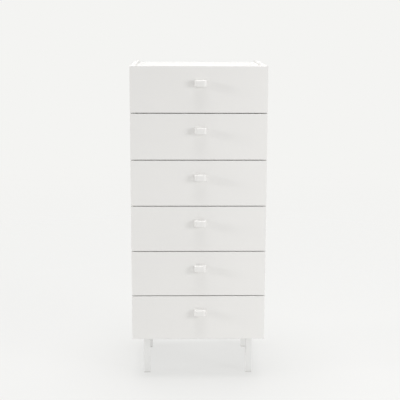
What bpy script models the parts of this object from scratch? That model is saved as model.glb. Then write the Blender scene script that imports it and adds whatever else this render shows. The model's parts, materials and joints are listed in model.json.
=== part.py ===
"""Tall narrow chest of six drawers, standing on a welded square-tube base.

Metres, +Z up.  The drawers open towards -Y and +X is to the right of someone facing them.
The origin is on the floor, under the middle of the whole outline, pulls included.
"""
from math import radians

import bmesh
import bpy
from mathutils import Matrix, Vector

MM = 0.001

# ---- Overall sizes ------------------------------------------------------------------------
WIDTH = 508 * MM
DEPTH = 457 * MM              # from the face of the drawer fronts to the back edges
BODY_HEIGHT = 1044 * MM       # the case without its base
LEG_HEIGHT = 163 * MM         # from the floor to the underside of the case
DRAWER_COUNT = 6

# ---- Case ---------------------------------------------------------------------------------
SIDE_BOARD = 19 * MM
TOP_BOARD = 19 * MM
BOTTOM_BOARD = 19 * MM
TOP_RECESS = 6 * MM           # the top lies this far below the edges of the sides
BACK_SHEET = 6 * MM
BACK_SETBACK = 10 * MM        # from the back edges of the sides to the back sheet
BACK_GROOVE_DEPTH = 8 * MM
BOARD_ARRIS = 1.0 * MM

# ---- Drawer fronts and pulls --------------------------------------------------------------
FRONT_BOARD = 19 * MM
FRONT_GAP = 3 * MM            # between one front and the next
FRONT_STANDOFF = 2 * MM       # between the closed fronts and the case, taken up by bumpers
FRONT_ARRIS = 1.5 * MM
PULL_WIDTH = 45 * MM
PULL_HEIGHT = 24 * MM
PULL_PROJECTION = 24 * MM
PULL_DROP = 63 * MM           # from the top edge of a front to the middle of its pull
PULL_SHIFT = 6 * MM            # the pulls sit this far to the right of the middle
PULL_CORNER = 12 * MM
PULL_CORNER_STEPS = 6
PULL_ARRIS = 3 * MM

# ---- Drawer boxes -------------------------------------------------------------------------
BOX_WALL = 12 * MM
BOX_HEADROOM = 10.5 * MM      # above a box, so that it can be lifted off its slides
BOX_REAR_ROOM = 21.7 * MM     # between the back of a box and the back sheet
BOX_ARRIS = 1.0 * MM
PANEL_SHEET = 5 * MM          # the bottom panel of a drawer
PANEL_LIFT = 10 * MM          # from the bottom edge of a box to the groove for its panel
PANEL_GROOVE_DEPTH = 6 * MM

# ---- Roller slides ------------------------------------------------------------------------
SLIDE_SPACE = 12.5 * MM       # between a drawer box and the side of the case
SLIDE_STEEL = 1.2 * MM
SLIDE_SETBACK = 1 * MM        # from the front edge of the case to the fixed rail
RAIL_HEIGHT = 34 * MM
RAIL_DROP = 8 * MM            # from the bottom edge of a box down to the foot of the rail
RUNNER_LEDGE = 12 * MM        # the flange under the side of a box
RUNNER_WEB = 13.5 * MM
RAIL_CLEARANCE = 1 * MM       # between the lowest rail and the bottom board

# ---- Base ---------------------------------------------------------------------------------
TUBE = 25.4 * MM
TUBE_WALL = 1.6 * MM
BASE_SIDE_INSET = 41 * MM     # from the side of the case to the outside of a leg
BASE_FRONT_INSET = 70 * MM    # from the face of the drawer fronts to the front of a leg
BASE_BACK_INSET = 70 * MM
GLIDE_FOOT = 5 * MM
GLIDE_PLUG = 16 * MM
GLIDE_ARRIS = 1.2 * MM

# ---- Clearances ---------------------------------------------------------------------------
FIT = 0.3 * MM                # between pieces that touch
RUNNING = 0.5 * MM            # between pieces that slide past each other
OVERCUT = 2 * MM              # how far a cutter runs past the face that it opens

# ---- Rounded edges ------------------------------------------------------------------------
ARRIS_STEPS = 2
SHARP_ANGLE = radians(45)     # an edge that turns less than this is part of a round

# ---- Worked out from the above ------------------------------------------------------------
BACK_Y = (DEPTH + PULL_PROJECTION) / 2
FACE_Y = BACK_Y - DEPTH
FRONT_REAR_Y = FACE_Y + FRONT_BOARD
CASE_FRONT_Y = FRONT_REAR_Y + FRONT_STANDOFF
CASE_BASE_Z = LEG_HEIGHT
CASE_TOP_Z = LEG_HEIGHT + BODY_HEIGHT
INNER_X = WIDTH / 2 - SIDE_BOARD
FLOOR_Z = CASE_BASE_Z + BOTTOM_BOARD
TOP_Z = CASE_TOP_Z - TOP_RECESS
CEILING_Z = TOP_Z - TOP_BOARD
FRONT_HEIGHT = (BODY_HEIGHT - (DRAWER_COUNT - 1) * FRONT_GAP) / DRAWER_COUNT
FRONT_PITCH = FRONT_HEIGHT + FRONT_GAP
BOX_X = INNER_X - SLIDE_SPACE
BOX_INNER_X = BOX_X - BOX_WALL
BOX_LIFT = BOTTOM_BOARD + RAIL_CLEARANCE + RAIL_DROP   # from the foot of a front to its box
BOX_HEIGHT = FRONT_HEIGHT - BOX_LIFT - TOP_RECESS - TOP_BOARD - BOX_HEADROOM
BACK_SHEET_Y = BACK_Y - BACK_SETBACK - BACK_SHEET
BOX_FRONT_Y = FRONT_REAR_Y + FIT
BOX_BACK_Y = BACK_SHEET_Y - BOX_REAR_ROOM
SLIDE_LENGTH = BOX_BACK_Y - BOX_FRONT_Y

# ---- Colour, roughness and metallic value of each finish ----------------------------------
FINISHES = {
    "lacquer": ((0.86, 0.86, 0.85), 0.38, 0.0),
    "back_sheet": ((0.80, 0.80, 0.78), 0.60, 0.0),
    "powder_coat": ((0.84, 0.84, 0.83), 0.45, 0.0),
    "plywood": ((0.74, 0.60, 0.42), 0.55, 0.0),
    "slide_enamel": ((0.82, 0.82, 0.80), 0.35, 0.0),
    "glide_plastic": ((0.72, 0.72, 0.70), 0.55, 0.0),
}

for old in list(bpy.data.objects):
    bpy.data.objects.remove(old)

parts = bpy.data.collections.new("tall_chest_of_drawers")
cutters = bpy.data.collections.new("cutters")
bpy.context.scene.collection.children.link(parts)
bpy.context.scene.collection.children.link(cutters)


# ---- Making and placing -------------------------------------------------------------------
def finish_for(name, finish):
    """A material of the piece's own, named after it."""
    colour, roughness, metallic = FINISHES[finish]
    material = bpy.data.materials.new(name)
    material.use_nodes = True
    shader = material.node_tree.nodes["Principled BSDF"]
    shader.inputs["Base Color"].default_value = (*colour, 1.0)
    shader.inputs["Roughness"].default_value = roughness
    shader.inputs["Metallic"].default_value = metallic
    return material


def place(name, data, finish, centre, parent):
    """Put a piece where its centre is in the world, carried by its parent."""
    piece = bpy.data.objects.new(name, data)
    data.materials.append(finish_for(name, finish))
    parts.objects.link(piece)
    piece.parent = parent
    piece.location = Vector(centre) - parent.location
    return piece


def block_mesh(name, size):
    """A box of this size about its own centre."""
    mesh = bpy.data.meshes.new(name)
    shape = bmesh.new()
    bmesh.ops.create_cube(shape, size=1.0, matrix=Matrix.Diagonal((*size, 1.0)))
    shape.to_mesh(mesh)
    shape.free()
    return mesh


def spread(low, high):
    """The size and the centre of the box between two corners."""
    low, high = Vector(low), Vector(high)
    return high - low, (low + high) / 2


def ease_edges(piece, arris):
    """Round the piece's crisp edges over."""
    ease = piece.modifiers.new("arris", "BEVEL")
    ease.width = arris
    ease.segments = ARRIS_STEPS
    ease.angle_limit = SHARP_ANGLE


def block(name, low, high, finish, parent, arris=0.0):
    """A board between two corners, its edges eased by the arris."""
    size, centre = spread(low, high)
    piece = place(name, block_mesh(name, size), finish, centre, parent)
    if arris:
        ease_edges(piece, arris)
    return piece


def tool(name, low, high):
    """A box that another piece is cut or joined with, and that isn't a piece itself."""
    size, centre = spread(low, high)
    solid = bpy.data.objects.new(name, block_mesh(name, size))
    cutters.objects.link(solid)
    solid.location = centre
    solid.hide_render = True
    solid.display_type = "WIRE"
    return solid


def combine(piece, solid, operation):
    step = piece.modifiers.new(solid.name, "BOOLEAN")
    step.operation = operation
    step.object = solid


def cut(piece, name, low, high):
    combine(piece, tool(name, low, high), "DIFFERENCE")


def join(piece, name, low, high):
    combine(piece, tool(name, low, high), "UNION")


def carrier(name, location):
    """The empty that a body's pieces hang on, on the line that the body moves along."""
    empty = bpy.data.objects.new(name, None)
    parts.objects.link(empty)
    empty.location = location
    bpy.context.view_layer.update()
    return empty


def pressing(name, outline, length, finish, front, parent):
    """A folded steel strip: its section in X and Z, run back from its front end."""
    curve = bpy.data.curves.new(name, "CURVE")
    curve.dimensions = "2D"
    curve.fill_mode = "BOTH"
    curve.extrude = length / 2
    spline = curve.splines.new("POLY")
    spline.points.add(len(outline) - 1)
    for point, (x, z) in zip(spline.points, outline):
        point.co = (x, z, 0.0, 1.0)
    spline.use_cyclic_u = True
    piece = place(name, curve, finish, front + Vector((0, length / 2, 0)), parent)
    piece.rotation_euler.x = radians(90)
    return piece


case = carrier("case", (0, 0, CASE_BASE_Z))


# ---- Case: two sides, a top, a bottom and a back sheet ------------------------------------
def groove_span():
    """Front and rear faces of the groove that the back sheet sits in."""
    return BACK_SHEET_Y - FIT, BACK_SHEET_Y + BACK_SHEET + FIT


def make_side(name, side):
    outer, inner = side * WIDTH / 2, side * INNER_X
    low_x, high_x = sorted((outer, inner))
    panel = block(name, (low_x, CASE_FRONT_Y, CASE_BASE_Z), (high_x, BACK_Y, CASE_TOP_Z),
                  "lacquer", case, BOARD_ARRIS)
    near, far = groove_span()
    shallow, deep = sorted((side * (INNER_X - OVERCUT), side * (INNER_X + BACK_GROOVE_DEPTH)))
    cut(panel, name + "_groove", (shallow, near, FLOOR_Z - BACK_GROOVE_DEPTH),
        (deep, far, CEILING_Z + BACK_GROOVE_DEPTH))


def make_top():
    edge = INNER_X - FIT
    panel = block("top_panel", (-edge, CASE_FRONT_Y, CEILING_Z), (edge, BACK_Y, TOP_Z),
                  "lacquer", case, BOARD_ARRIS)
    near, far = groove_span()
    cut(panel, "top_groove", (-INNER_X - OVERCUT, near, CEILING_Z - OVERCUT),
        (INNER_X + OVERCUT, far, CEILING_Z + BACK_GROOVE_DEPTH))


def make_bottom():
    edge = INNER_X - FIT
    panel = block("bottom_panel", (-edge, CASE_FRONT_Y, CASE_BASE_Z), (edge, BACK_Y, FLOOR_Z),
                  "lacquer", case, BOARD_ARRIS)
    near, far = groove_span()
    cut(panel, "bottom_groove", (-INNER_X - OVERCUT, near, FLOOR_Z - BACK_GROOVE_DEPTH),
        (INNER_X + OVERCUT, far, FLOOR_Z + OVERCUT))


def make_back():
    reach = BACK_GROOVE_DEPTH - FIT
    block("back_panel", (-INNER_X - reach, BACK_SHEET_Y, FLOOR_Z - reach),
          (INNER_X + reach, BACK_SHEET_Y + BACK_SHEET, CEILING_Z + reach), "back_sheet", case)


# ---- Base: four legs and four rails of square tube, welded into one frame ------------------
BASE_X = WIDTH / 2 - BASE_SIDE_INSET
BASE_FRONT_Y = FACE_Y + BASE_FRONT_INSET
BASE_BACK_Y = BACK_Y - BASE_BACK_INSET
BASE_TOP_Z = CASE_BASE_Z - FIT
LEG_FOOT_Z = GLIDE_FOOT + FIT
LEG_CORNERS = {
    "front_left": (-BASE_X, BASE_FRONT_Y),
    "front_right": (BASE_X - TUBE, BASE_FRONT_Y),
    "back_left": (-BASE_X, BASE_BACK_Y - TUBE),
    "back_right": (BASE_X - TUBE, BASE_BACK_Y - TUBE),
}


def tube_boxes(wall):
    """The members of the base as boxes, all shrunk by a wall: nothing for their outsides,
    and the wall of the tube for their bores, which run out of the feet of the legs."""
    foot = LEG_FOOT_Z - (OVERCUT if wall else 0)
    top = BASE_TOP_Z - wall
    rail_foot = BASE_TOP_Z - TUBE + wall
    boxes = {}
    for corner, (x, y) in LEG_CORNERS.items():
        boxes["leg_" + corner] = ((x + wall, y + wall, foot),
                                  (x + TUBE - wall, y + TUBE - wall, top))
    rear_y = BASE_BACK_Y - TUBE
    for side, y in (("front", BASE_FRONT_Y), ("back", rear_y)):
        boxes["rail_" + side] = ((-BASE_X + wall, y + wall, rail_foot),
                                 (BASE_X - wall, y + TUBE - wall, top))
    for side, x in (("left", -BASE_X), ("right", BASE_X - TUBE)):
        boxes["rail_" + side] = ((x + wall, BASE_FRONT_Y + wall, rail_foot),
                                 (x + TUBE - wall, BASE_BACK_Y - wall, top))
    return boxes


def make_base():
    outsides = tube_boxes(0.0)
    first = "leg_front_left"
    frame = block("base_frame", *outsides.pop(first), "powder_coat", case)
    for member, (low, high) in outsides.items():
        join(frame, member, low, high)
    for member, (low, high) in tube_boxes(TUBE_WALL).items():
        cut(frame, member + "_bore", low, high)


def make_glide(name, corner):
    """A plastic foot as wide as the tube, with a plug that goes up inside it."""
    x, y = corner
    foot = block(name, (x, y, 0), (x + TUBE, y + TUBE, GLIDE_FOOT), "glide_plastic", case,
                 GLIDE_ARRIS)
    shy = TUBE_WALL + FIT
    join(foot, name + "_plug", (x + shy, y + shy, GLIDE_FOOT - OVERCUT),
         (x + TUBE - shy, y + TUBE - shy, GLIDE_FOOT + GLIDE_PLUG))


# ---- Slides: a fixed rail on the case and a runner on the drawer, on each side -------------
def rail_outline(side):
    """A channel open towards the drawer, its web flat on the side of the case."""
    back = INNER_X - FIT
    mouth = BOX_X + FIT + SLIDE_STEEL + RUNNING
    foot, head = -RAIL_DROP, RAIL_HEIGHT - RAIL_DROP
    points = [(mouth, foot), (back, foot), (back, head), (mouth, head),
              (mouth, head - SLIDE_STEEL), (back - SLIDE_STEEL, head - SLIDE_STEEL),
              (back - SLIDE_STEEL, foot + SLIDE_STEEL), (mouth, foot + SLIDE_STEEL)]
    return [(side * x, z) for x, z in points]


def runner_outline(side):
    """A ledge under the box, a web up its side, and a flange out into the rail."""
    inner, outer = BOX_X + FIT, BOX_X + FIT + SLIDE_STEEL
    ledge = BOX_X - RUNNER_LEDGE
    tip = INNER_X - FIT - SLIDE_STEEL - RUNNING
    under, bed = -FIT - SLIDE_STEEL, -FIT
    head = under + RUNNER_WEB
    points = [(ledge, under), (outer, under), (outer, head - SLIDE_STEEL),
              (tip, head - SLIDE_STEEL), (tip, head), (inner, head), (inner, bed), (ledge, bed)]
    return [(side * x, z) for x, z in points]


def make_rails(number, box_z):
    front = Vector((0, CASE_FRONT_Y + SLIDE_SETBACK, box_z))
    for side_name, side in (("left", -1), ("right", 1)):
        pressing(f"rail_{number}_{side_name}", rail_outline(side), SLIDE_LENGTH,
                 "slide_enamel", front, case)


# ---- Drawers ------------------------------------------------------------------------------
def make_front(name, foot_z, parent):
    block(name + "_front", (-WIDTH / 2, FACE_Y, foot_z),
          (WIDTH / 2, FRONT_REAR_Y, foot_z + FRONT_HEIGHT), "lacquer", parent, FRONT_ARRIS)


def make_box(name, box_z, parent):
    """Four glued walls; the back wall ends above the groove, so the panel slides in under it."""
    box = block(name + "_box", (-BOX_X, BOX_FRONT_Y, box_z),
                (BOX_X, BOX_BACK_Y, box_z + BOX_HEIGHT), "plywood", parent, BOX_ARRIS)
    inner_front, inner_back = BOX_FRONT_Y + BOX_WALL, BOX_BACK_Y - BOX_WALL
    cut(box, name + "_inside", (-BOX_INNER_X, inner_front, box_z - OVERCUT),
        (BOX_INNER_X, inner_back, box_z + BOX_HEIGHT + OVERCUT))
    groove_x = BOX_INNER_X + PANEL_GROOVE_DEPTH
    groove_foot = box_z + PANEL_LIFT
    groove_head = groove_foot + PANEL_SHEET + 2 * FIT
    cut(box, name + "_panel_groove", (-groove_x, inner_front - PANEL_GROOVE_DEPTH, groove_foot),
        (groove_x, BOX_BACK_Y + OVERCUT, groove_head))
    cut(box, name + "_panel_entry", (-BOX_INNER_X, inner_back - OVERCUT, box_z - OVERCUT),
        (BOX_INNER_X, BOX_BACK_Y + OVERCUT, groove_head))


def make_panel(name, box_z, parent):
    edge = BOX_INNER_X + PANEL_GROOVE_DEPTH - FIT
    front_y = BOX_FRONT_Y + BOX_WALL - PANEL_GROOVE_DEPTH + FIT
    foot = box_z + PANEL_LIFT + FIT
    block(name + "_bottom", (-edge, front_y, foot), (edge, BOX_BACK_Y, foot + PANEL_SHEET),
          "plywood", parent)


def is_front_corner(edge, face_y):
    """Whether an edge of the pull runs up its front, where a hand meets it."""
    a, b = (corner.co for corner in edge.verts)
    upright = abs(a.x - b.x) < FIT and abs(a.y - b.y) < FIT
    return upright and min(a.y, b.y) < face_y + FIT


def make_pull(name, foot_z, parent):
    """A solid tab, well rounded at the front corners in plan, with all its edges eased."""
    middle_z = foot_z + FRONT_HEIGHT - PULL_DROP
    size, centre = spread(
        (PULL_SHIFT - PULL_WIDTH / 2, FACE_Y - PULL_PROJECTION, middle_z - PULL_HEIGHT / 2),
        (PULL_SHIFT + PULL_WIDTH / 2, FACE_Y - FIT, middle_z + PULL_HEIGHT / 2))
    mesh = block_mesh(name + "_pull", size)
    shape = bmesh.new()
    shape.from_mesh(mesh)
    corners = [edge for edge in shape.edges if is_front_corner(edge, -size.y / 2)]
    bmesh.ops.bevel(shape, geom=corners, offset=PULL_CORNER, segments=PULL_CORNER_STEPS, profile=0.5,
                    affect="EDGES")
    shape.to_mesh(mesh)
    shape.free()
    mesh.shade_smooth()
    mesh.set_sharp_from_angle(angle=SHARP_ANGLE)
    pull = place(name + "_pull", mesh, "lacquer", centre, parent)
    ease_edges(pull, PULL_ARRIS)


def make_runners(name, box_z, parent):
    front = Vector((0, BOX_FRONT_Y, box_z))
    for side_name, side in (("left", -1), ("right", 1)):
        pressing(f"{name}_runner_{side_name}", runner_outline(side), SLIDE_LENGTH,
                 "slide_enamel", front, parent)


def make_drawer(number):
    foot_z = CASE_BASE_Z + (DRAWER_COUNT - number) * FRONT_PITCH
    box_z = foot_z + BOX_LIFT
    name = f"drawer_{number}"
    body = carrier(name, (0, FACE_Y, foot_z + FRONT_HEIGHT / 2))
    make_front(name, foot_z, body)
    make_pull(name, foot_z, body)
    make_box(name, box_z, body)
    make_panel(name, box_z, body)
    make_runners(name, box_z, body)
    make_rails(number, box_z)


make_side("side_panel_left", -1)
make_side("side_panel_right", 1)
make_top()
make_bottom()
make_back()
make_base()
for corner_name, corner_place in LEG_CORNERS.items():
    make_glide("glide_" + corner_name, corner_place)
for drawer_number in range(1, DRAWER_COUNT + 1):
    make_drawer(drawer_number)
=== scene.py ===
import json
from contextlib import contextmanager
from math import radians

import bpy
from bpy.props import FloatProperty, FloatVectorProperty, PointerProperty
from bpy.types import Operator, Panel, PropertyGroup
from mathutils import Euler, Matrix, Vector

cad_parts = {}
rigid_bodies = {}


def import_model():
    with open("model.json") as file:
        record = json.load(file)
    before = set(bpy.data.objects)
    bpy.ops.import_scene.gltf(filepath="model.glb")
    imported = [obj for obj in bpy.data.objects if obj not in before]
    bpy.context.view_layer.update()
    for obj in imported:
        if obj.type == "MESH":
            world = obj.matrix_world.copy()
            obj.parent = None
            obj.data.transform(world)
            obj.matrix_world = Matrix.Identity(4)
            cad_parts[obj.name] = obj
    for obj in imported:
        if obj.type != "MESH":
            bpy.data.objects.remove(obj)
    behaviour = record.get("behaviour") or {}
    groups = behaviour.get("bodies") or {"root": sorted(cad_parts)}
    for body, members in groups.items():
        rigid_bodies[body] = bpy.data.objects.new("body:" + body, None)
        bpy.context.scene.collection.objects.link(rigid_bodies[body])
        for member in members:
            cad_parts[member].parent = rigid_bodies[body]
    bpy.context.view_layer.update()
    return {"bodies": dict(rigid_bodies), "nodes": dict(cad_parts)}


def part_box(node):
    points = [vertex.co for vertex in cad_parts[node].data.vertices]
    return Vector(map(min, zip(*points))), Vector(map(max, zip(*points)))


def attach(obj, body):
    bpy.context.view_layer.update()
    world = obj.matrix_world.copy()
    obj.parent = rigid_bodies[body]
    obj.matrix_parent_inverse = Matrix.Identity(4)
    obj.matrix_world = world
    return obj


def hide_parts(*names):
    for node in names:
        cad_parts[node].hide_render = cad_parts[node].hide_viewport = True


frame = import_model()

bl_info = {
    "name": "Tall Chest of Drawers",
    "version": (1, 0, 0),
    "blender": (4, 5, 0),
    "location": "View3D > Sidebar > Chest",
    "description": "Models the finished pieces of a tall chest of drawers round its packed frame",
    "category": "Add Mesh",
}

MM = 0.001
SIDES = {"left": -1, "right": 1}
DRAWERS = sorted(body for body in frame["bodies"] if body.startswith("drawer_"))
FITTING_GAP = 0.3 * MM
CUT_PAST = 2 * MM
SHEET_ARRIS = 0.5 * MM
GLIDE_RIM = 2.5 * MM
UPRIGHT_EDGE = 10 * MM
SAME_PLACE = 0.1 * MM
SLIDE_ARRIS = 0.25 * MM
SLOT_SHARES = (0.14, 0.38, 0.62, 0.86)
SLOT_HALF = Vector((CUT_PAST * 2, 5 * MM, 2.2 * MM))


# ---- Sizes, colours and studio --------------------------------------------------------------
def length(name, description, default):
    return FloatProperty(name=name, description=description, default=default, unit="LENGTH",
                         precision=4, min=0.0)


def colour(name, description, default):
    return FloatVectorProperty(name=name, description=description, default=default,
                               subtype="COLOR", size=3, min=0.0, max=1.0)


def amount(name, description, default):
    return FloatProperty(name=name, description=description, default=default, min=0.0)


def size_of(node):
    low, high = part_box(node)
    return high - low


class ChestSizes(PropertyGroup):
    """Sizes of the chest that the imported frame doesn't fix by itself"""
    board_arris: length("Board arris", "Rounding of the edges of the case boards", 1.0 * MM)
    front_arris: length("Front arris", "Rounding of the edges of the drawer fronts", 1.5 * MM)
    pull_corner: length("Pull corner", "Plan radius of a pull's front corners", 12 * MM)
    pull_arris: length("Pull arris", "Rounding of the edges of a pull", 3.0 * MM)
    box_wall: length("Box wall", "Thickness of a drawer box's plywood walls", 12 * MM)
    box_arris: length("Box arris", "Rounding of the edges of the plywood walls", 0.8 * MM)
    panel_lift: length("Panel lift", "Height of the panel groove above the box edge", 10 * MM)
    panel_groove: length("Panel groove", "Depth of the groove for the bottom panel", 6 * MM)
    back_groove: length("Back groove", "Depth of the groove for the back sheet", 8 * MM)
    tube_corner: length("Tube corner", "Outer corner radius of the square tube", 2.2 * MM)
    weld_bead: length("Weld bead", "Thickness of the bead where a leg meets the ring", 3.0 * MM)
    glide_arris: length("Glide arris", "Rounding of the edges of a glide", 1.4 * MM)
    slide_steel: length("Slide steel", "Thickness of the slides' folded steel", 1.2 * MM)
    slide_bend: length("Slide bend", "Bend radius of the slides' steel", 1.8 * MM)
    roller_radius: length("Roller radius", "Radius of the slides' rollers", 8.3 * MM)
    roller_width: length("Roller width", "Width of the slides' rollers", 7.4 * MM)
    roller_setback: length("Roller setback", "From the end of a slide to its roller", 11 * MM)
    screw_head: length("Screw head", "Radius of the pan heads", 3.5 * MM)
    screw_rise: length("Screw rise", "Height of the pan heads", 1.9 * MM)
    bumper_radius: length("Bumper radius", "Radius of the bumpers behind the fronts", 4 * MM)


class ChestColours(PropertyGroup):
    """Colours of the chest's finishes"""
    lacquer: colour("Lacquer", "Satin lacquer of the boards and fronts", (0.808, 0.80, 0.785))
    back_sheet: colour("Back sheet", "White facing of the thin back", (0.74, 0.74, 0.72))
    powder_coat: colour("Powder coat", "Coat of the tube base", (0.78, 0.78, 0.77))
    birch: colour("Birch", "Pale wood of the drawer boxes", (0.72, 0.56, 0.37))
    birch_grain: colour("Birch grain", "Darker wood in the grain", (0.55, 0.39, 0.23))
    enamel: colour("Enamel", "White epoxy of the slides", (0.78, 0.78, 0.76))
    glide: colour("Glide", "Moulded plastic of the feet", (0.70, 0.70, 0.68))
    nylon: colour("Nylon", "Moulded nylon of the rollers", (0.85, 0.85, 0.82))
    zinc: colour("Zinc", "Plating of the screws", (0.66, 0.67, 0.68))
    bumper: colour("Bumper", "Clear soft plastic of the bumpers", (0.75, 0.75, 0.73))


class ChestStudio(PropertyGroup):
    """Camera and light of the studio"""
    camera_place: FloatVectorProperty(
        name="Camera place", description="Where the camera stands", subtype="XYZ",
        unit="LENGTH", size=3, default=(-0.0676, -3.6638, 1.3749))
    camera_turn: FloatVectorProperty(
        name="Camera turn", description="Tilt down, pan right and roll of the camera",
        unit="ROTATION", size=3, default=(radians(10.929), radians(1.205), radians(0.185)))
    lens: FloatProperty(name="Lens", description="Focal length on a 36 mm sensor",
                        default=84.34, min=1.0, unit="CAMERA")
    backdrop: colour("Backdrop", "What the camera sees behind the chest", (0.905, 0.905, 0.888))
    floor: colour("Floor", "Matt sheet that the chest stands on", (0.20, 0.20, 0.198))
    floor_glow: amount("Floor glow", "Light of the table under the sheet", 0.611)
    daylight: amount("Daylight", "Even light from all round", 0.481)
    top_light: amount("Top light", "Light from overhead", 2.28)
    front_light: amount("Front light", "Level light from the front", 0.293)
    side_light: amount("Side light", "Low, narrow light from the left", 0.876)
    back_light: amount("Back light", "Light from above and behind", 0.506)
    key_power: amount("Key power", "Watts of the soft box at the front right", 48.5)


# ---- Working on one piece at a time ---------------------------------------------------------
def deselect():
    if bpy.context.mode != "OBJECT":
        bpy.ops.object.mode_set(mode="OBJECT")
    bpy.ops.object.select_all(action="DESELECT")


def take(piece):
    """Make a piece the only one selected, and the active one."""
    deselect()
    piece.select_set(True)
    bpy.context.view_layer.objects.active = piece


def settle(piece):
    """Put the piece's place, turn and size into its mesh."""
    take(piece)
    bpy.ops.object.transform_apply(location=True, rotation=True, scale=True)
    return piece


def named(piece, name):
    piece.name = name
    piece.data.name = name
    return piece


def add_block(name, low, high):
    """A block between two corners."""
    low, high = Vector(low), Vector(high)
    deselect()
    bpy.ops.mesh.primitive_cube_add(size=1, location=(low + high) / 2, scale=high - low)
    return settle(named(bpy.context.object, name))


def add_rod(name, centre, radius, depth, axis, sides=24):
    """A round bar about its centre, along X, Y or Z."""
    turn = {"X": (0, radians(90), 0), "Y": (radians(90), 0, 0), "Z": (0, 0, 0)}[axis]
    deselect()
    bpy.ops.mesh.primitive_cylinder_add(vertices=sides, radius=radius, depth=depth,
                                        location=centre, rotation=turn)
    return settle(named(bpy.context.object, name))


def modify(piece, kind, **settings):
    """Add a modifier, set it up and apply it."""
    take(piece)
    bpy.ops.object.modifier_add(type=kind)
    modifier = piece.modifiers[-1]
    for name, value in settings.items():
        setattr(modifier, name, value)
    bpy.ops.object.modifier_apply(modifier=modifier.name)
    return piece


def combine(piece, other, operation):
    """Cut or join a piece with another, which is used up."""
    modify(piece, "BOOLEAN", operation=operation, object=other, solver="EXACT")
    bpy.data.objects.remove(other)
    return piece


def cut_block(piece, low, high):
    return combine(piece, add_block("cutter", low, high), "DIFFERENCE")


@contextmanager
def edit(piece):
    """Edit mode on one piece."""
    take(piece)
    bpy.ops.object.mode_set(mode="EDIT")
    yield
    bpy.ops.object.mode_set(mode="OBJECT")


def select_faces(piece, wanted):
    """Select the faces whose centre and normal pass the test."""
    with edit(piece):
        bpy.ops.mesh.select_mode(type="FACE")
        bpy.ops.mesh.select_all(action="DESELECT")
    for face in piece.data.polygons:
        face.select = wanted(face.center, face.normal)


def select_edges(piece, wanted):
    """Select the edges whose two ends pass the test."""
    with edit(piece):
        bpy.ops.mesh.select_mode(type="EDGE")
        bpy.ops.mesh.select_all(action="DESELECT")
    corners = piece.data.vertices
    for edge in piece.data.edges:
        start, end = (corners[index].co for index in edge.vertices)
        edge.select = wanted(start, end)


def ease(piece, arris, steps=3):
    """Round over every crisp edge."""
    return modify(piece, "BEVEL", width=arris, segments=steps, limit_method="ANGLE",
                  angle_limit=radians(40))


def face_out(piece):
    """Turn the faces outwards."""
    with edit(piece):
        bpy.ops.mesh.select_all(action="SELECT")
        bpy.ops.mesh.normals_make_consistent(inside=False)
    return piece


def copied(piece, name, offset=(0, 0, 0)):
    """A copy with its own mesh, moved by an offset."""
    take(piece)
    bpy.ops.object.duplicate(linked=False)
    copy = named(bpy.context.object, name)
    copy.location = offset
    return settle(copy)


def mirrored(piece, name):
    """A copy on the other side of the chest."""
    copy = copied(piece, name)
    copy.scale.x = -1
    return face_out(settle(copy))


def smooth(piece, angle=35):
    """Smooth shading that keeps wide faces flat up to their rounded edges."""
    take(piece)
    bpy.ops.object.shade_smooth_by_angle(angle=radians(angle))
    return modify(piece, "WEIGHTED_NORMAL", keep_sharp=True)


def hand_over(piece, body, slot, *finishes, replaced=()):
    """Give a finished piece its materials and the body that it rides on. The slot is not used."""
    for finish in finishes:
        piece.data.materials.append(finish)
    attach(piece, body)
    if replaced:
        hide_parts(*replaced)
    return piece


# ---- Materials ------------------------------------------------------------------------------
class Recipe:
    """A Principled material and the few nodes that vary its finish over the piece."""

    def __init__(self, name, tint, roughness, metallic=0.0):
        self.material = bpy.data.materials.new(name)
        self.material.use_nodes = True
        self.tree = self.material.node_tree
        self.shader = self.tree.nodes["Principled BSDF"]
        self.shader.inputs["Base Color"].default_value = (*tint, 1.0)
        self.shader.inputs["Roughness"].default_value = roughness
        self.shader.inputs["Metallic"].default_value = metallic
        self.place = self.node("ShaderNodeTexCoord").outputs["Object"]

    def node(self, kind, **settings):
        node = self.tree.nodes.new(kind)
        for name, value in settings.items():
            setattr(node, name, value)
        return node

    def stretched(self, scale):
        """Object coordinates, stretched so that a pattern runs along the small scales."""
        mapping = self.node("ShaderNodeMapping")
        mapping.inputs["Scale"].default_value = scale
        self.tree.links.new(self.place, mapping.inputs["Vector"])
        return mapping.outputs["Vector"]

    def noise(self, scale, detail=2.0, place=None):
        texture = self.node("ShaderNodeTexNoise")
        texture.inputs["Scale"].default_value = scale
        texture.inputs["Detail"].default_value = detail
        self.tree.links.new(place or self.place, texture.inputs["Vector"])
        return texture.outputs["Fac"]

    def ranged(self, value, low, high, start=0.3, end=0.7):
        """Spread a texture's middle band over a range of values."""
        spread = self.node("ShaderNodeMapRange")
        spread.inputs["From Min"].default_value = start
        spread.inputs["From Max"].default_value = end
        spread.inputs["To Min"].default_value = low
        spread.inputs["To Max"].default_value = high
        self.tree.links.new(value, spread.inputs["Value"])
        return spread.outputs["Result"]

    def tinted(self, value, first, second, start=0.3, end=0.7):
        """Colour that runs from one tint to the other as a texture rises."""
        ramp = self.node("ShaderNodeValToRGB")
        near, far = ramp.color_ramp.elements
        near.position, near.color = start, (*first, 1.0)
        far.position, far.color = end, (*second, 1.0)
        self.tree.links.new(value, ramp.inputs["Fac"])
        self.tree.links.new(ramp.outputs["Color"], self.shader.inputs["Base Color"])
        return self

    def roughened(self, value, low, high):
        self.tree.links.new(self.ranged(value, low, high), self.shader.inputs["Roughness"])
        return self

    def bumped(self, value, depth, strength=1.0):
        bump = self.node("ShaderNodeBump")
        bump.inputs["Distance"].default_value = depth
        bump.inputs["Strength"].default_value = strength
        self.tree.links.new(value, bump.inputs["Height"])
        self.tree.links.new(bump.outputs["Normal"], self.shader.inputs["Normal"])
        return self


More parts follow.
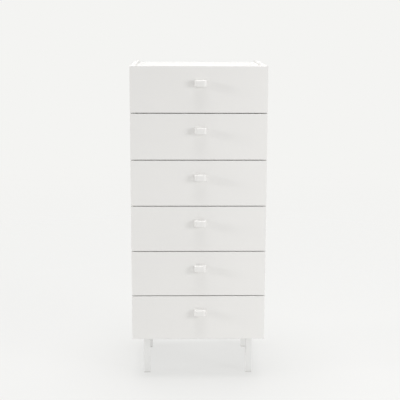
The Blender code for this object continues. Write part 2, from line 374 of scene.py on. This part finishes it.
def shade(tint, share):
    """A tint made darker, or lighter when the share is over one."""
    return tuple(min(1.0, channel * share) for channel in tint)


def lacquer(tint):
    """Satin lacquer on board: a faint orange peel and a slightly uneven sheen."""
    recipe = Recipe("satin_lacquer", tint, 0.36)
    recipe.tinted(recipe.noise(2.5), shade(tint, 0.985), shade(tint, 1.01))
    recipe.roughened(recipe.noise(14), 0.33, 0.42)
    recipe.bumped(recipe.noise(620), 0.02 * MM, 0.5)
    return recipe.material


def powder_coat(tint):
    """Powder coat on steel: finer and rounder than the lacquer's peel."""
    recipe = Recipe("powder_coat", tint, 0.42)
    recipe.tinted(recipe.noise(9), shade(tint, 0.98), shade(tint, 1.01))
    recipe.roughened(recipe.noise(60), 0.38, 0.48)
    recipe.bumped(recipe.noise(1100), 0.03 * MM, 0.6)
    return recipe.material


def faced_sheet(tint):
    """White facing on thin fibreboard, dull and a little mottled."""
    recipe = Recipe("faced_sheet", tint, 0.58)
    recipe.tinted(recipe.noise(45, 5.0), shade(tint, 0.985), shade(tint, 1.005))
    recipe.roughened(recipe.noise(30), 0.52, 0.66)
    recipe.bumped(recipe.noise(420, 4.0), 0.03 * MM, 0.5)
    return recipe.material


def birch_face(name, pale, dark, along):
    """Rotary-cut birch veneer, its figure drawn out along X or Y."""
    drawn_out = {"X": (1.2, 16.0, 16.0), "Y": (16.0, 1.2, 16.0)}[along]
    pores = {"X": (9.0, 420.0, 420.0), "Y": (420.0, 9.0, 420.0)}[along]
    recipe = Recipe(name, pale, 0.5)
    figure = recipe.noise(1.6, 6.0, recipe.stretched(drawn_out))
    recipe.tinted(figure, dark, pale, 0.2, 0.62)
    recipe.roughened(recipe.noise(1.0, 3.0, recipe.stretched(pores)), 0.42, 0.6)
    recipe.bumped(recipe.noise(1.0, 3.0, recipe.stretched(pores)), 0.05 * MM, 0.6)
    return recipe.material


def birch_edge(name, pale, dark, through):
    """The plies on the edge of a plywood board, stacked through X, Y or Z."""
    recipe = Recipe(name, pale, 0.6)
    plies = recipe.node("ShaderNodeTexWave", wave_type="BANDS", bands_direction=through)
    plies.inputs["Scale"].default_value = 117.0
    plies.inputs["Distortion"].default_value = 0.35
    plies.inputs["Detail"].default_value = 3.0
    recipe.tree.links.new(recipe.place, plies.inputs["Vector"])
    recipe.tinted(plies.outputs["Fac"], shade(dark, 0.85), shade(pale, 1.05), 0.15, 0.75)
    recipe.roughened(recipe.noise(300), 0.55, 0.7)
    recipe.bumped(plies.outputs["Fac"], 0.04 * MM, 0.6)
    return recipe.material


def enamel(tint):
    """Glossy epoxy baked on folded steel."""
    recipe = Recipe("slide_enamel", tint, 0.28)
    recipe.tinted(recipe.noise(25), shade(tint, 0.97), shade(tint, 1.01))
    recipe.roughened(recipe.noise(90), 0.22, 0.34)
    recipe.bumped(recipe.noise(500), 0.02 * MM, 0.5)
    return recipe.material


def moulded(name, tint, low, high):
    """Moulded plastic with a fine spark texture."""
    recipe = Recipe(name, tint, low)
    recipe.tinted(recipe.noise(40), shade(tint, 0.97), shade(tint, 1.02))
    recipe.roughened(recipe.noise(200), low, high)
    recipe.bumped(recipe.noise(1500), 0.02 * MM, 0.5)
    return recipe.material


def zinc_plate(tint):
    """Bright zinc with the cloudiness of barrel plating."""
    recipe = Recipe("zinc_plate", tint, 0.3, metallic=1.0)
    recipe.tinted(recipe.noise(700), shade(tint, 0.88), shade(tint, 1.06))
    recipe.roughened(recipe.noise(900), 0.24, 0.44)
    return recipe.material


def finish_named(name, make):
    """The material of this name, made the first time that it is asked for."""
    return bpy.data.materials.get(name) or make()


def lacquer_finish(scene):
    return finish_named("satin_lacquer", lambda: lacquer(scene.chest_colours.lacquer))


def enamel_finish(scene):
    return finish_named("slide_enamel", lambda: enamel(scene.chest_colours.enamel))


def zinc_finish(scene):
    return finish_named("zinc_plate", lambda: zinc_plate(scene.chest_colours.zinc))


def birch_finishes(scene, along, through):
    """Face veneer and ply edge for a wall that runs along one axis and is thin through another."""
    tints = scene.chest_colours.birch, scene.chest_colours.birch_grain
    face, edge = f"birch_face_{along}", f"birch_edge_{through}"
    return (finish_named(face, lambda: birch_face(face, *tints, along)),
            finish_named(edge, lambda: birch_edge(edge, *tints, through)))


# ---- Case boards ----------------------------------------------------------------------------
def back_sheet_span():
    """Front and back faces of the groove round the back sheet."""
    low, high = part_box("back_panel")
    return low.y - FITTING_GAP, high.y + FITTING_GAP


def case_board(context, node, spread=0.0):
    """A lacquered board of the case, still without its groove, with each end moved out."""
    low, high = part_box(node)
    reach = Vector((spread, 0, 0))
    board = add_block(node + "_board", low - reach, high + reach)
    return ease(board, context.scene.chest_sizes.board_arris)


def finish_board(context, board, node):
    smooth(board)
    hand_over(board, "case", "lacquer", lacquer_finish(context.scene), replaced=[node])


class CHEST_OT_side_panels(Operator):
    """Add the two sides, each with a stopped groove for the back sheet"""
    bl_idname = "chest.side_panels"
    bl_label = "Side Panels"

    def execute(self, context):
        groove = context.scene.chest_sizes.back_groove
        near, far = back_sheet_span()
        sheet_low, sheet_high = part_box("back_panel")
        right = case_board(context, "side_panel_right")
        inner_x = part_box("side_panel_right")[0].x
        cut_block(right, (inner_x - CUT_PAST, near, sheet_low.z - FITTING_GAP),
                  (inner_x + groove, far, sheet_high.z + FITTING_GAP))
        left = mirrored(right, "side_panel_left_board")
        finish_board(context, right, "side_panel_right")
        finish_board(context, left, "side_panel_left")
        return {"FINISHED"}


class CHEST_OT_top_and_bottom(Operator):
    """Add the top, set down between the sides, and the bottom board"""
    bl_idname = "chest.top_and_bottom"
    bl_label = "Top and Bottom"

    def execute(self, context):
        groove = context.scene.chest_sizes.back_groove
        near, far = back_sheet_span()
        for node, edge, way in (("top_panel", 0, 1), ("bottom_panel", 1, -1)):
            low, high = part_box(node)
            board = case_board(context, node, FITTING_GAP)
            mouth = (low, high)[edge].z
            heights = sorted((mouth - way * CUT_PAST, mouth + way * groove))
            cut_block(board, (low.x - CUT_PAST, near, heights[0]),
                      (high.x + CUT_PAST, far, heights[1]))
            finish_board(context, board, node)
        return {"FINISHED"}


class CHEST_OT_back_sheet(Operator):
    """Add the thin back sheet"""
    bl_idname = "chest.back_sheet"
    bl_label = "Back Sheet"

    def execute(self, context):
        low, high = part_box("back_panel")
        sheet = ease(add_block("back_sheet", low, high), SHEET_ARRIS, 2)
        tint = context.scene.chest_colours.back_sheet
        hand_over(smooth(sheet), "case", "back_sheet", faced_sheet(tint),
                  replaced=["back_panel"])
        return {"FINISHED"}


# ---- Base -----------------------------------------------------------------------------------
class CHEST_OT_base(Operator):
    """Add the welded base: a ring of square tube on four legs"""
    bl_idname = "chest.base"
    bl_label = "Tube Base"

    def ring(self, sizes, tube):
        """The flat ring of tube under the case, hollow in the middle."""
        low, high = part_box("base_frame")
        ring = add_block("base_ring", (low.x, low.y, high.z - tube), high)
        middle_low = Vector((low.x + tube, low.y + tube, high.z - tube - CUT_PAST))
        middle_high = Vector((high.x - tube, high.y - tube, high.z + CUT_PAST))
        cut_block(ring, middle_low, middle_high)
        return ease(ring, sizes.tube_corner)

    def leg(self, sizes, tube, corner, glide):
        """A leg from its glide up into the ring."""
        low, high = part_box("base_frame")
        foot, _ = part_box(glide)
        leg = add_block("leg_" + corner, (foot.x, foot.y, low.z),
                        (foot.x + tube, foot.y + tube, high.z - tube / 2))
        select_edges(leg, lambda start, end: abs(start.z - end.z) > tube)
        with edit(leg):
            bpy.ops.mesh.bevel(offset=sizes.tube_corner, segments=3, affect="EDGES")
        return leg

    def beads(self, sizes, tube, corner, glide):
        """Two weld beads on the inner faces of a leg, under the ring."""
        foot, foot_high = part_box(glide)
        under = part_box("base_frame")[1].z - tube
        middle = (foot + foot_high) / 2
        inward = Vector((-1 if middle.x > 0 else 1, -1 if middle.y > 0 else 1, 0))
        run = tube - 2 * sizes.tube_corner
        along_y = add_rod(f"weld_{corner}_side", (middle.x + inward.x * tube / 2, middle.y, under),
                          sizes.weld_bead / 2, run, "Y", 12)
        along_x = add_rod(f"weld_{corner}_end", (middle.x, middle.y + inward.y * tube / 2, under),
                          sizes.weld_bead / 2, run, "X", 12)
        return along_y, along_x

    def execute(self, context):
        sizes, scene = context.scene.chest_sizes, context.scene
        tube = size_of("glide_front_left").x
        coat = finish_named("powder_coat", lambda: powder_coat(scene.chest_colours.powder_coat))
        base = self.ring(sizes, tube)
        for glide in sorted(node for node in frame["nodes"] if node.startswith("glide_")):
            corner = glide.removeprefix("glide_")
            combine(base, self.leg(sizes, tube, corner, glide), "UNION")
            for bead in self.beads(sizes, tube, corner, glide):
                ease(bead, sizes.weld_bead / 4, 2)
                hand_over(smooth(bead, 50), "case", "powder_coat", coat)
        hand_over(smooth(named(base, "base_tubes")), "case", "powder_coat", coat,
                  replaced=["base_frame"])
        return {"FINISHED"}


class CHEST_OT_glides(Operator):
    """Add the plastic feet that plug the legs"""
    bl_idname = "chest.glides"
    bl_label = "Glides"

    def execute(self, context):
        scene = context.scene
        plastic = moulded("glide_plastic", scene.chest_colours.glide, 0.45, 0.6)
        leg_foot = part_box("base_frame")[0].z
        for node in sorted(node for node in frame["nodes"] if node.startswith("glide_")):
            low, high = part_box(node)
            foot = add_block(node + "_foot", low, (high.x, high.y, leg_foot))
            select_faces(foot, lambda centre, normal: normal.z < -0.5)
            with edit(foot):
                bpy.ops.mesh.inset(thickness=GLIDE_RIM, depth=0.0)
            ease(foot, scene.chest_sizes.glide_arris)
            hand_over(smooth(foot), "case", "glide_plastic", plastic, replaced=[node])
        return {"FINISHED"}


# ---- Drawer fronts and pulls ----------------------------------------------------------------
class CHEST_OT_fronts(Operator):
    """Add the slab fronts of the drawers"""
    bl_idname = "chest.fronts"
    bl_label = "Drawer Fronts"

    def execute(self, context):
        for drawer in DRAWERS:
            node = drawer + "_front"
            front = add_block(drawer + "_slab", *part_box(node))
            ease(front, context.scene.chest_sizes.front_arris, 4)
            hand_over(smooth(front), drawer, "lacquer", lacquer_finish(context.scene),
                      replaced=[node])
        return {"FINISHED"}


class CHEST_OT_pulls(Operator):
    """Add the tab pulls, well rounded at their front corners"""
    bl_idname = "chest.pulls"
    bl_label = "Pulls"

    def execute(self, context):
        sizes = context.scene.chest_sizes
        for drawer in DRAWERS:
            node = drawer + "_pull"
            low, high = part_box(node)
            high.y += FITTING_GAP
            pull = add_block(drawer + "_tab", low, high)
            middle = (low.y + high.y) / 2
            select_edges(pull, lambda start, end: abs(start.z - end.z) > UPRIGHT_EDGE
                         and max(start.y, end.y) < middle)
            with edit(pull):
                bpy.ops.mesh.bevel(offset=sizes.pull_corner, segments=8, affect="EDGES")
            ease(pull, sizes.pull_arris, 4)
            hand_over(smooth(pull), drawer, "lacquer", lacquer_finish(context.scene),
                      replaced=[node])
        return {"FINISHED"}


class CHEST_OT_bumpers(Operator):
    """Add the soft bumpers that a closed front rests on"""
    bl_idname = "chest.bumpers"
    bl_label = "Bumpers"

    def execute(self, context):
        sizes, scene = context.scene.chest_sizes, context.scene
        clear = moulded("bumper_plastic", scene.chest_colours.bumper, 0.3, 0.45)
        case_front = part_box("side_panel_left")[0].y
        board = size_of("side_panel_left").x
        for drawer in DRAWERS:
            _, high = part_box(drawer + "_front")
            thick = case_front - high.y - FITTING_GAP
            for side, sign in SIDES.items():
                place = (sign * (high.x - board / 2), high.y + thick / 2, high.z - board)
                bumper = add_rod(f"{drawer}_bumper_{side}", place, sizes.bumper_radius, thick, "Y")
                ease(bumper, thick / 3)
                hand_over(smooth(bumper), drawer, "bumper", clear)
        return {"FINISHED"}


# ---- Drawer boxes ---------------------------------------------------------------------------
def finish_wall(context, wall, body, along, through, replaced=()):
    """Ease a plywood wall and put veneer on its faces and plies on its edges."""
    ease(wall, context.scene.chest_sizes.box_arris, 2)
    smooth(wall)
    thin = "XYZ".index(through)
    hand_over(wall, body, "plywood", *birch_finishes(context.scene, along, through),
              replaced=replaced)
    for face in wall.data.polygons:
        face.material_index = 0 if abs(face.normal[thin]) > 0.7 else 1


class CHEST_OT_boxes(Operator):
    """Add the plywood walls of the drawer boxes, grooved for their bottom panels"""
    bl_idname = "chest.boxes"
    bl_label = "Drawer Boxes"

    def execute(self, context):
        sizes = context.scene.chest_sizes
        wall, groove = sizes.box_wall, sizes.panel_groove
        for drawer in DRAWERS:
            low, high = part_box(drawer + "_box")
            panel_low, panel_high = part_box(drawer + "_bottom")
            foot, head = panel_low.z - FITTING_GAP, panel_high.z + FITTING_GAP
            side = add_block(drawer + "_side_right", (high.x - wall, low.y, low.z), high)
            inner = high.x - wall
            cut_block(side, (inner - CUT_PAST, panel_low.y - FITTING_GAP, foot),
                      (inner + groove, high.y + CUT_PAST, head))
            other = mirrored(side, drawer + "_side_left")
            front = add_block(drawer + "_inner_front", (-inner, low.y, low.z),
                              (inner, low.y + wall, high.z))
            cut_block(front, (-inner - CUT_PAST, low.y + wall - groove, foot),
                      (inner + CUT_PAST, low.y + wall + CUT_PAST, head))
            back = add_block(drawer + "_inner_back", (-inner, high.y - wall, head),
                             (inner, high.y, high.z))
            finish_wall(context, side, drawer, "Y", "X", replaced=[drawer + "_box"])
            finish_wall(context, other, drawer, "Y", "X")
            finish_wall(context, front, drawer, "X", "Y")
            finish_wall(context, back, drawer, "X", "Y")
        return {"FINISHED"}


class CHEST_OT_bottoms(Operator):
    """Add the thin bottom panels of the drawers"""
    bl_idname = "chest.bottoms"
    bl_label = "Drawer Bottoms"

    def execute(self, context):
        for drawer in DRAWERS:
            node = drawer + "_bottom"
            panel = add_block(drawer + "_panel", *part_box(node))
            finish_wall(context, panel, drawer, "X", "Z", replaced=[node])
        return {"FINISHED"}


# ---- Slides ---------------------------------------------------------------------------------
def folded_strip(name, low, high, x, folds, sizes):
    """A steel strip standing at x, folded over at its edges, then given its thickness.

    Each fold is the height of the edge it starts from and how far it runs along X.
    """
    deselect()
    middle = Vector((x, (low.y + high.y) / 2, (low.z + high.z) / 2))
    bpy.ops.mesh.primitive_plane_add(size=1, location=middle, rotation=(0, radians(90), 0))
    strip = named(bpy.context.object, name)
    strip.scale = (high.z - low.z, high.y - low.y, 1)
    settle(strip)
    for height, run in folds:
        select_edges(strip, lambda start, end: abs(start.z - height) < SAME_PLACE
                     and abs(end.z - height) < SAME_PLACE and abs(start.x - x) < SAME_PLACE)
        with edit(strip):
            bpy.ops.mesh.extrude_region_move(TRANSFORM_OT_translate={"value": (run, 0, 0)})
    heights = [height for height, _ in folds]
    select_edges(strip, lambda start, end: abs(start.y - end.y) > SAME_PLACE
                 and abs(start.x - x) < SAME_PLACE
                 and any(abs(start.z - height) < SAME_PLACE for height in heights))
    with edit(strip):
        bpy.ops.mesh.bevel(offset=sizes.slide_bend, segments=4, affect="EDGES")
    return modify(strip, "SOLIDIFY", thickness=sizes.slide_steel, offset=0.0,
                  use_even_offset=True)


class CHEST_OT_rails(Operator):
    """Add the slides' fixed rails, with their screw slots"""
    bl_idname = "chest.rails"
    bl_label = "Slide Rails"

    def execute(self, context):
        sizes = context.scene.chest_sizes
        half = sizes.slide_steel / 2
        low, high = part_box("rail_1_right")
        inside = Vector((0, low.y, low.z + half)), Vector((0, high.y, high.z - half))
        run = low.x - (high.x - half)
        model = folded_strip("rail_model", *inside, high.x - half,
                             [(inside[0].z, run), (inside[1].z, run)], sizes)
        for share in SLOT_SHARES:
            place = Vector((high.x, low.y + share * (high.y - low.y), (low.z + high.z) / 2))
            cut_block(model, place - SLOT_HALF, place + SLOT_HALF)
        ease(face_out(model), SLIDE_ARRIS, 2)
        for number in range(1, len(DRAWERS) + 1):
            drop = Vector((0, 0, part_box(f"rail_{number}_right")[0].z - low.z))
            right = copied(model, f"slide_rail_{number}_right", drop)
            left = mirrored(right, f"slide_rail_{number}_left")
            for rail, side in ((right, "right"), (left, "left")):
                hand_over(smooth(rail), "case", "slide_enamel", enamel_finish(context.scene),
                          replaced=[f"rail_{number}_{side}"])
        bpy.data.objects.remove(model)
        return {"FINISHED"}


class CHEST_OT_runners(Operator):
    """Add the slides' runners, which carry the drawer boxes"""
    bl_idname = "chest.runners"
    bl_label = "Slide Runners"

    def execute(self, context):
        sizes = context.scene.chest_sizes
        half = sizes.slide_steel / 2
        low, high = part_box("drawer_1_runner_right")
        web_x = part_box("drawer_1_box")[1].x + FITTING_GAP + half
        inside = Vector((0, low.y, low.z + half)), Vector((0, high.y, high.z - half))
        model = folded_strip("runner_model", *inside, web_x,
                             [(inside[0].z, low.x - web_x), (inside[1].z, high.x - web_x)],
                             sizes)
        ease(face_out(model), SLIDE_ARRIS, 2)
        for drawer in DRAWERS:
            drop = Vector((0, 0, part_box(drawer + "_runner_right")[0].z - low.z))
            right = copied(model, drawer + "_slide_right", drop)
            left = mirrored(right, drawer + "_slide_left")
            for runner, side in ((right, "right"), (left, "left")):
                hand_over(smooth(runner), drawer, "slide_enamel", enamel_finish(context.scene),
                          replaced=[f"{drawer}_runner_{side}"])
        bpy.data.objects.remove(model)
        return {"FINISHED"}


class CHEST_OT_rollers(Operator):
    """Add a nylon roller to the front of each rail and the back of each runner"""
    bl_idname = "chest.rollers"
    bl_label = "Rollers"

    def roller(self, sizes, name, centre):
        """A roller with a hollowed face and a riveted pin."""
        wheel = add_rod(name, centre, sizes.roller_radius, sizes.roller_width, "X", 32)
        select_faces(wheel, lambda middle, normal: abs(normal.x) > 0.9)
        with edit(wheel):
            bpy.ops.mesh.inset(thickness=2.0 * MM, depth=0.0)
            bpy.ops.mesh.inset(thickness=0.6 * MM, depth=-0.9 * MM)
            bpy.ops.mesh.inset(thickness=1.6 * MM, depth=0.0)
            bpy.ops.mesh.inset(thickness=0.5 * MM, depth=0.9 * MM)
        return ease(wheel, 0.35 * MM, 2)

    def execute(self, context):
        sizes, scene = context.scene.chest_sizes, context.scene
        nylon = moulded("roller_nylon", scene.chest_colours.nylon, 0.35, 0.5)
        for number, drawer in enumerate(DRAWERS, 1):
            rail_low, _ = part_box(f"rail_{number}_right")
            _, run_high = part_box(drawer + "_runner_right")
            height = rail_low.z + sizes.slide_steel + FITTING_GAP + sizes.roller_radius
            x = run_high.x - sizes.roller_width / 2 - FITTING_GAP
            fixed = Vector((x, rail_low.y + sizes.roller_setback, height))
            moving = Vector((x, run_high.y - sizes.roller_setback, height))
            for body, place, name in (("case", fixed, f"rail_{number}_roller"),
                                      (drawer, moving, f"{drawer}_roller")):
                right = self.roller(sizes, name + "_right", place)
                left = mirrored(right, name + "_left")
                for wheel in (right, left):
                    hand_over(smooth(wheel, 40), body, "roller_nylon", nylon)
        return {"FINISHED"}


# ---- Screws ---------------------------------------------------------------------------------
def screw_model(sizes):
    """A pan head standing on the XY plane, with a cross recess."""
    head = add_rod("screw_model", (0, 0, sizes.screw_rise / 2), sizes.screw_head,
                   sizes.screw_rise, "Z", 20)
    select_edges(head, lambda start, end: min(start.z, end.z) > sizes.screw_rise * 0.9)
    with edit(head):
        bpy.ops.mesh.bevel(offset=sizes.screw_rise * 0.7, segments=3, affect="EDGES")
    arm, width = sizes.screw_head * 0.55, sizes.screw_head * 0.14
    deep = sizes.screw_rise * 0.45
    cut_block(head, (-arm, -width, deep), (arm, width, sizes.screw_rise + CUT_PAST))
    cut_block(head, (-width, -arm, deep), (width, arm, sizes.screw_rise + CUT_PAST))
    return head


def screw_places(sizes):
    """Every screw of the chest: its body, its name, where its head sits and which way it faces."""
    base_low, base_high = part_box("base_frame")
    tube = size_of("glide_front_left").x
    for end, y in (("front", base_low.y + tube / 2), ("back", base_high.y - tube / 2)):
        for side, sign in SIDES.items():
            place = Vector((sign * base_high.x / 2, y, base_high.z - tube))
            yield "case", f"base_screw_{end}_{side}", place, Vector((0, 0, -1))
    for number, drawer in enumerate(DRAWERS, 1):
        box_low, box_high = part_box(drawer + "_box")
        pull_low, pull_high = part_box(drawer + "_pull")
        inner_face = box_low.y + sizes.box_wall
        place = Vector((0, inner_face, (pull_low.z + pull_high.z) / 2))
        yield drawer, drawer + "_pull_screw", place, Vector((0, 1, 0))
        for side, sign in SIDES.items():
            for row, share in (("low", 0.3), ("high", 0.8)):
                height = box_low.z + share * (box_high.z - box_low.z)
                place = Vector((sign * box_high.x * 0.7, inner_face, height))
                yield drawer, f"{drawer}_front_screw_{row}_{side}", place, Vector((0, 1, 0))
            rail_low, rail_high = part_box(f"rail_{number}_{side}")
            web = max(rail_low.x * sign, rail_high.x * sign) - sizes.slide_steel
            for row, share in (("front", 0.26), ("middle", 0.5), ("back", 0.74)):
                place = Vector((sign * web, rail_low.y + share * (rail_high.y - rail_low.y),
                                (rail_low.z + rail_high.z) / 2))
                name = f"rail_{number}_screw_{row}_{side}"
                yield "case", name, place, Vector((-sign, 0, 0))


class CHEST_OT_screws(Operator):
    """Add the heads of the screws that hold the slides, the fronts, the pulls and the base"""
    bl_idname = "chest.screws"
    bl_label = "Screws"

    def execute(self, context):
        sizes = context.scene.chest_sizes
        model = screw_model(sizes)
        for body, name, place, facing in screw_places(sizes):
            screw = copied(model, name)
            screw.rotation_euler = facing.to_track_quat("Z", "Y").to_euler()
            screw.location = place
            settle(screw)
            hand_over(smooth(screw), body, "zinc_screw", zinc_finish(context.scene))
        bpy.data.objects.remove(model)
        return {"FINISHED"}


# ---- Studio ---------------------------------------------------------------------------------
FLOOR_REACH = 14.0
FLOOR_FADE = (1.6, 5.0)
GLOW_TINT = (1.0, 1.0, 0.985)
LAMP_HEIGHT = 3.0
KEY_PLACE = (3.2, -2.2, 1.45)
KEY_AIM = (0, -0.2, 0.7)
KEY_WIDTH = 1.4


def sweep_material(studio):
    """Matt sheet over a light table, fading into the backdrop away from the chest."""
    recipe = Recipe("studio_sweep", studio.floor, 0.9)
    recipe.shader.inputs["Emission Color"].default_value = (*GLOW_TINT, 1.0)
    recipe.shader.inputs["Emission Strength"].default_value = studio.floor_glow
    distance = recipe.node("ShaderNodeVectorMath", operation="LENGTH")
    recipe.tree.links.new(recipe.place, distance.inputs[0])
    fade = recipe.ranged(distance.outputs["Value"], 1.0, 0.0, *FLOOR_FADE)
    recipe.tree.links.new(fade, recipe.shader.inputs["Alpha"])
    recipe.shader.inputs["Specular IOR Level"].default_value = 0.0
    return recipe.material


class CHEST_OT_stage(Operator):
    """Add the floor, the soft lights and the camera"""
    bl_idname = "chest.stage"
    bl_label = "Studio"

    def floor(self, studio):
        deselect()
        bpy.ops.mesh.primitive_plane_add(size=FLOOR_REACH)
        floor = named(bpy.context.object, "studio_floor")
        floor.data.materials.append(sweep_material(studio))

    def world(self, scene, studio):
        """Even light, and a plain backdrop of its own brightness for the camera."""
        scene.world = bpy.data.worlds.new("studio_world")
        scene.world.use_nodes = True
        tree = scene.world.node_tree
        light = tree.nodes["Background"]
        light.inputs["Color"].default_value = (1.0, 0.995, 0.985, 1.0)
        light.inputs["Strength"].default_value = studio.daylight
        backdrop = tree.nodes.new("ShaderNodeBackground")
        backdrop.inputs["Color"].default_value = (*studio.backdrop, 1.0)
        chosen = tree.nodes.new("ShaderNodeMixShader")
        rays = tree.nodes.new("ShaderNodeLightPath")
        tree.links.new(rays.outputs["Is Camera Ray"], chosen.inputs["Fac"])
        tree.links.new(light.outputs["Background"], chosen.inputs[1])
        tree.links.new(backdrop.outputs["Background"], chosen.inputs[2])
        tree.links.new(chosen.outputs["Shader"], tree.nodes["World Output"].inputs["Surface"])

    def lamp(self, name, round_from_front, height, spread, strength):
        """A far, wide and so soft lamp. Its first angle turns from the front to the right."""
        deselect()
        bpy.ops.object.light_add(type="SUN", location=(0, 0, LAMP_HEIGHT))
        lamp = named(bpy.context.object, name)
        lamp.data.energy = strength
        lamp.data.angle = radians(spread)
        lamp.rotation_euler = (radians(90 - height), 0, radians(round_from_front))

    def soft_box(self, name, place, aim, width, power):
        """A round soft box, aimed at a point of the chest."""
        deselect()
        bpy.ops.object.light_add(type="AREA", location=place)
        box = named(bpy.context.object, name)
        box.data.shape = "DISK"
        box.data.size = width
        box.data.energy = power
        box.rotation_euler = (Vector(place) - Vector(aim)).to_track_quat("Z", "Y").to_euler()

    def camera(self, scene, studio):
        deselect()
        bpy.ops.object.camera_add(location=studio.camera_place)
        camera = named(bpy.context.object, "studio_camera")
        tilt, pan, roll = studio.camera_turn
        level = Euler((radians(90) - tilt, 0, -pan)).to_matrix()
        camera.rotation_euler = (level @ Matrix.Rotation(roll, 3, "Z")).to_euler()
        camera.data.sensor_width = 36.0
        camera.data.lens = studio.lens
        scene.camera = camera

    def execute(self, context):
        scene, studio = context.scene, context.scene.chest_studio
        scene.view_settings.view_transform = "Standard"
        self.floor(studio)
        self.world(scene, studio)
        self.lamp("top_light", 0, 90, 40, studio.top_light)
        self.lamp("front_light", 0, 0, 60, studio.front_light)
        self.lamp("side_light", -80, 12, 10, studio.side_light)
        self.lamp("back_light", 180, 45, 60, studio.back_light)
        self.soft_box("key_box", KEY_PLACE, KEY_AIM, KEY_WIDTH, studio.key_power)
        self.camera(scene, studio)
        return {"FINISHED"}


# ---- Sidebar --------------------------------------------------------------------------------
PIECE_OPERATORS = (
    CHEST_OT_side_panels,
    CHEST_OT_top_and_bottom,
    CHEST_OT_back_sheet,
    CHEST_OT_base,
    CHEST_OT_glides,
    CHEST_OT_fronts,
    CHEST_OT_pulls,
    CHEST_OT_bumpers,
    CHEST_OT_boxes,
    CHEST_OT_bottoms,
    CHEST_OT_rails,
    CHEST_OT_runners,
    CHEST_OT_rollers,
    CHEST_OT_screws,
)


class CHEST_PT_sidebar(Panel):
    """Settings and pieces of the tall chest of drawers"""
    bl_idname = "CHEST_PT_sidebar"
    bl_label = "Tall Chest of Drawers"
    bl_space_type = "VIEW_3D"
    bl_region_type = "UI"
    bl_category = "Chest"

    def draw(self, context):
        column = self.layout.column()
        for settings in (context.scene.chest_sizes, context.scene.chest_colours,
                         context.scene.chest_studio):
            for name in settings.__annotations__:
                column.prop(settings, name)
            column.separator()
        for operator in (*PIECE_OPERATORS, CHEST_OT_stage):
            column.operator(operator.bl_idname)


CLASSES = (ChestSizes, ChestColours, ChestStudio, *PIECE_OPERATORS, CHEST_OT_stage,
           CHEST_PT_sidebar)


def register():
    for cls in CLASSES:
        bpy.utils.register_class(cls)
    bpy.types.Scene.chest_sizes = PointerProperty(type=ChestSizes)
    bpy.types.Scene.chest_colours = PointerProperty(type=ChestColours)
    bpy.types.Scene.chest_studio = PointerProperty(type=ChestStudio)


def unregister():
    del bpy.types.Scene.chest_studio
    del bpy.types.Scene.chest_colours
    del bpy.types.Scene.chest_sizes
    for cls in reversed(CLASSES):
        bpy.utils.unregister_class(cls)


def main():
    register()
    bpy.ops.chest.side_panels()
    bpy.ops.chest.top_and_bottom()
    bpy.ops.chest.back_sheet()
    bpy.ops.chest.base()
    bpy.ops.chest.glides()
    bpy.ops.chest.fronts()
    bpy.ops.chest.pulls()
    bpy.ops.chest.bumpers()
    bpy.ops.chest.boxes()
    bpy.ops.chest.bottoms()
    bpy.ops.chest.rails()
    bpy.ops.chest.runners()
    bpy.ops.chest.rollers()
    bpy.ops.chest.screws()
    bpy.ops.chest.stage()


if __name__ == "__main__":
    main()
